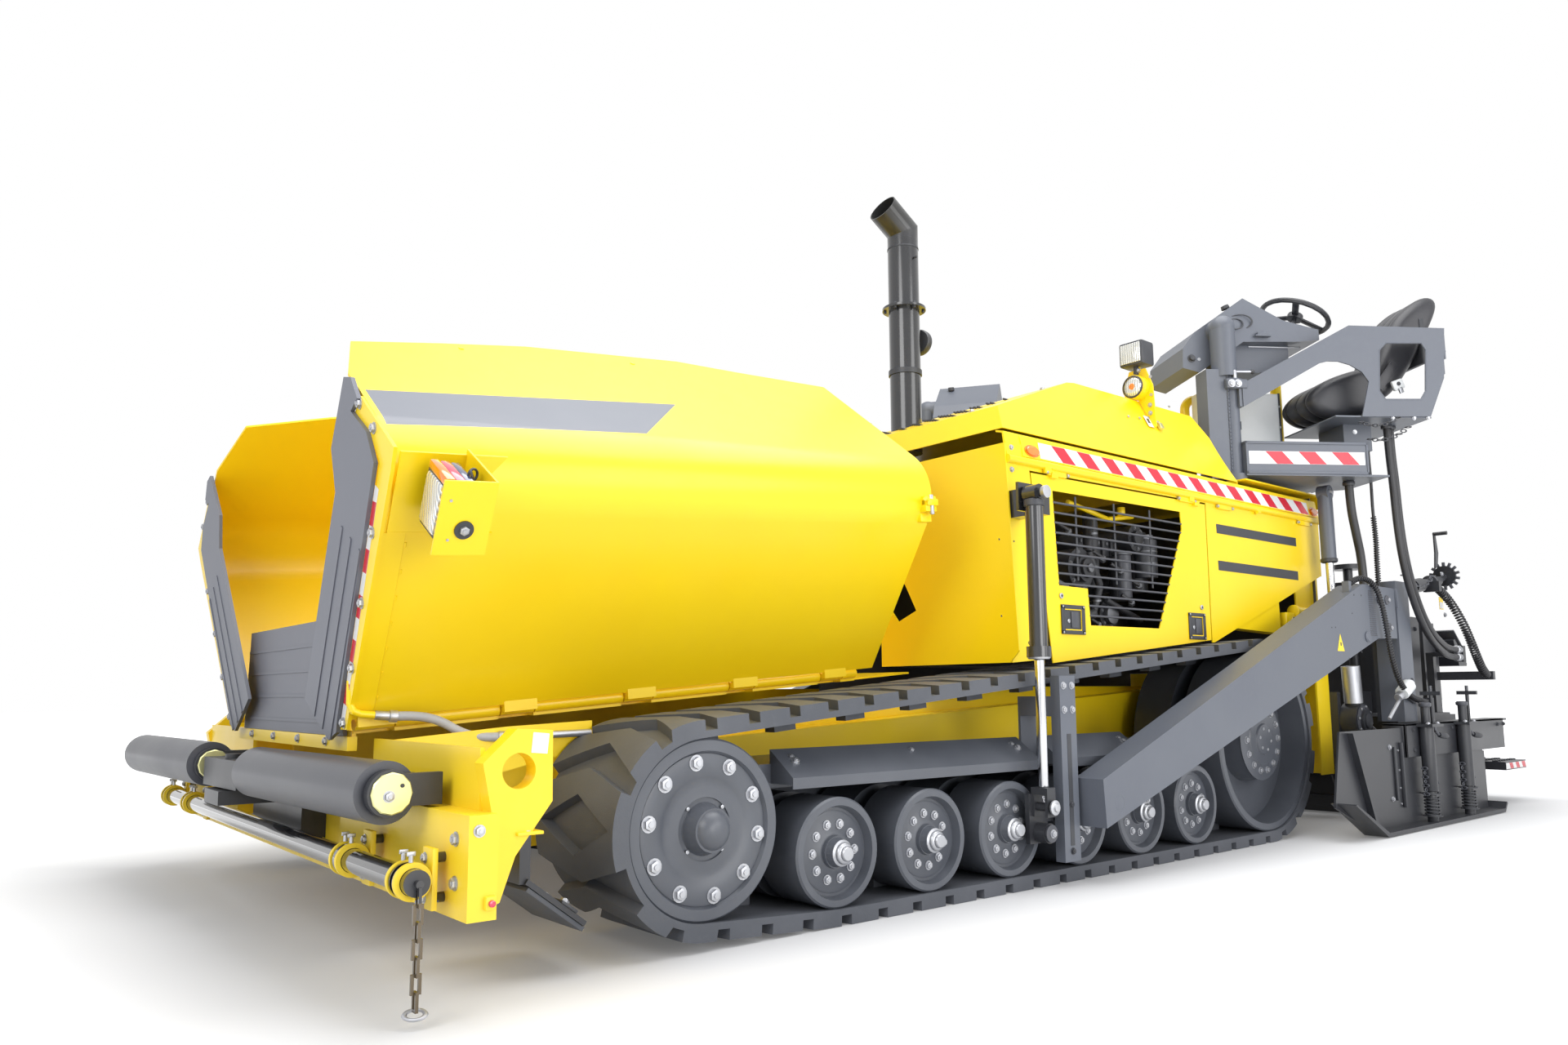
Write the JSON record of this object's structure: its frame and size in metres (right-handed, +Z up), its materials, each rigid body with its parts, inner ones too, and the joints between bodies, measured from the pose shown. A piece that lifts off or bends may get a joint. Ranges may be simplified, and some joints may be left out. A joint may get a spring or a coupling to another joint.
{
  "type": "tracked asphalt paver",
  "caption": "Tracked asphalt paver with a folding front hopper, slatted floor, rear augers, a towed levelling screed and swing-out operator stations.",
  "frame": {"origin": "on the ground at the middle of the machine's overall length and width", "axes": "+X forward towards the hopper, +Y to the machine's left, +Z up"},
  "size_m": [7.3797, 3.6316, 3.216],
  "materials": {
    "yellow_paint": "gloss",
    "grey_paint": "satin",
    "black_paint": "satin",
    "rubber": "matte",
    "rib_cover": "matte",
    "bright_steel": "polished",
    "roller_grey": "satin",
    "seat_vinyl": "satin",
    "lamp_housing": "satin",
    "white_panel": "satin",
    "hose_rubber": "matte"
  },
  "bodies": {
    "tractor": {"chassis_frame": "yellow_paint", "front_beam": "yellow_paint", "track_scrapers": "black_paint", "guide_tube": "black_paint", "push_bar_seat": "black_paint", "hopper_floor": "yellow_paint", "front_apron": "rib_cover", "bulkhead": "yellow_paint", "hood": "yellow_paint", "engine": "black_paint", "exhaust": "black_paint", "operator_deck": "yellow_paint", "work_lamps": "yellow_paint", "tow_guides": "black_paint", "tow_rams": "grey_paint", "road_wheels": "black_paint", "drive_wheels": "black_paint", "track_frames": "black_paint", "body_sides": "yellow_paint", "rear_hose_outer": "hose_rubber", "rear_hose_inner": "hose_rubber", "platform_hose": "hose_rubber", "console_cable": "hose_rubber", "auger_drive": "black_paint", "track_left": "rubber", "track_right": "rubber"},
    "push_bar": {"push_bar": "black_paint"},
    "tow_points": {"tow_sliders": "black_paint"},
    "screed": {"tow_arms": "grey_paint", "screed_frame": "black_paint", "screed_plate": "black_paint", "end_gates": "black_paint", "screed_walkway": "black_paint", "screed_tower": "black_paint", "wrapped_cable": "hose_rubber", "coiled_cable": "hose_rubber"},
    "lift_barrels": {"lift_barrels": "grey_paint"},
    "lift_rods": {"lift_rods": "bright_steel"},
    "hopper_wing_left": {"hopper_wing_left": "yellow_paint", "wing_flap_left": "rib_cover", "head_lamp_left": "lamp_housing"},
    "hopper_wing_right": {"hopper_wing_right": "yellow_paint", "wing_flap_right": "rib_cover", "head_lamp_right": "lamp_housing"},
    "push_roller_left": {"push_roller_left": "roller_grey"},
    "push_roller_right": {"push_roller_right": "roller_grey"},
    "engine_door_left": {"engine_door_left": "yellow_paint"},
    "engine_door_right": {"engine_door_right": "yellow_paint"},
    "auger_left": {"auger_left": "black_paint"},
    "auger_right": {"auger_right": "black_paint"},
    "station_left": {"station_left": "grey_paint", "seat_left": "seat_vinyl", "station_rail_left": "yellow_paint", "station_cabinet_left": "white_panel"},
    "steering_wheel_left": {"steering_wheel_left": "black_paint"},
    "station_right": {"station_right": "grey_paint", "seat_right": "seat_vinyl", "station_rail_right": "yellow_paint", "station_cabinet_right": "white_panel"},
    "steering_wheel_right": {"steering_wheel_right": "black_paint"}
  },
  "joints": [
    {"name": "wing_fold_left", "type": "hinge", "parent": "tractor", "child": "hopper_wing_left", "pos_m": [3.41613, 0.69, 0.64], "axis": [-0.9968, 0, 0.0804], "range_deg": [0, 38]},
    {"name": "wing_fold_right", "type": "hinge", "parent": "tractor", "child": "hopper_wing_right", "pos_m": [3.41613, -0.69, 0.64], "axis": [0.9968, 0, -0.0804], "range_deg": [0, 38]},
    {"name": "push_bar_pivot", "type": "hinge", "parent": "tractor", "child": "push_bar", "pos_m": [3.55513, 0, 0.494], "axis": [0, 0, 1], "range_deg": [-5.4, 0]},
    {"name": "roller_spin_left", "type": "hinge", "parent": "push_bar", "child": "push_roller_left", "pos_m": [3.51886, 0.76914, 0.494], "axis": [-0.0471, 0.9989, 0], "continuous": true},
    {"name": "roller_spin_right", "type": "hinge", "parent": "push_bar", "child": "push_roller_right", "pos_m": [3.5914, -0.76914, 0.494], "axis": [-0.0471, 0.9989, 0], "continuous": true},
    {"name": "door_left", "type": "hinge", "parent": "tractor", "child": "engine_door_left", "pos_m": [0.79013, 1.212, 1.614], "axis": [1, 0, 0], "range_deg": [0, 90]},
    {"name": "door_right", "type": "hinge", "parent": "tractor", "child": "engine_door_right", "pos_m": [0.79013, -1.212, 1.614], "axis": [-1, 0, 0], "range_deg": [0, 90]},
    {"name": "tow_point_height", "type": "slide", "parent": "tractor", "child": "tow_points", "axis": [0, 0, 1], "range_m": [0, 0.25], "deforming": ["rear_hose_outer", "rear_hose_inner", "platform_hose", "console_cable"]},
    {"name": "screed_lift", "type": "hinge", "parent": "tow_points", "child": "screed", "pos_m": [0.84513, 0, 0.3], "axis": [0, 1, 0], "range_deg": [0, 5], "deforming": ["rear_hose_outer", "rear_hose_inner", "platform_hose", "console_cable"]},
    {"name": "lift_barrel_swing", "type": "hinge", "parent": "tractor", "child": "lift_barrels", "pos_m": [-1.49987, 0, 1.78], "axis": [0, -1, 0], "range_deg": [0, 9.12]},
    {"name": "lift_rod_slide", "type": "slide", "parent": "lift_barrels", "child": "lift_rods", "axis": [0.0103, 0, 0.9999], "range_m": [0, 0.1967]},
    {"name": "auger_spin_left", "type": "hinge", "parent": "tractor", "child": "auger_left", "pos_m": [-1.83487, 0.66, 0.36], "axis": [0, 1, 0], "continuous": true},
    {"name": "auger_spin_right", "type": "hinge", "parent": "tractor", "child": "auger_right", "pos_m": [-1.83487, -0.66, 0.36], "axis": [0, 1, 0], "continuous": true},
    {"name": "station_swing_left", "type": "hinge", "parent": "tractor", "child": "station_left", "pos_m": [-0.90987, 1.085, 1.8], "axis": [0, 0, 1], "range_deg": [0, 34], "deforming": ["rear_hose_outer", "rear_hose_inner", "platform_hose", "console_cable"]},
    {"name": "steering_left", "type": "hinge", "parent": "station_left", "child": "steering_wheel_left", "pos_m": [-1.48337, 1.20043, 2.795], "axis": [-0.3372, 0.2274, 0.9135], "continuous": true},
    {"name": "station_swing_right", "type": "hinge", "parent": "tractor", "child": "station_right", "pos_m": [-0.90987, -1.085, 1.8], "axis": [0, 0, -1], "range_deg": [0, 34]},
    {"name": "steering_right", "type": "hinge", "parent": "station_right", "child": "steering_wheel_right", "pos_m": [-1.48337, -1.20043, 2.795], "axis": [-0.3372, -0.2274, 0.9135], "continuous": true}
  ],
  "couplings": [
    {"joint": "lift_barrel_swing", "follows": "screed_lift", "ratio": 1.824},
    {"joint": "lift_rod_slide", "follows": "screed_lift", "m_per_rad": 2.254}
  ]
}
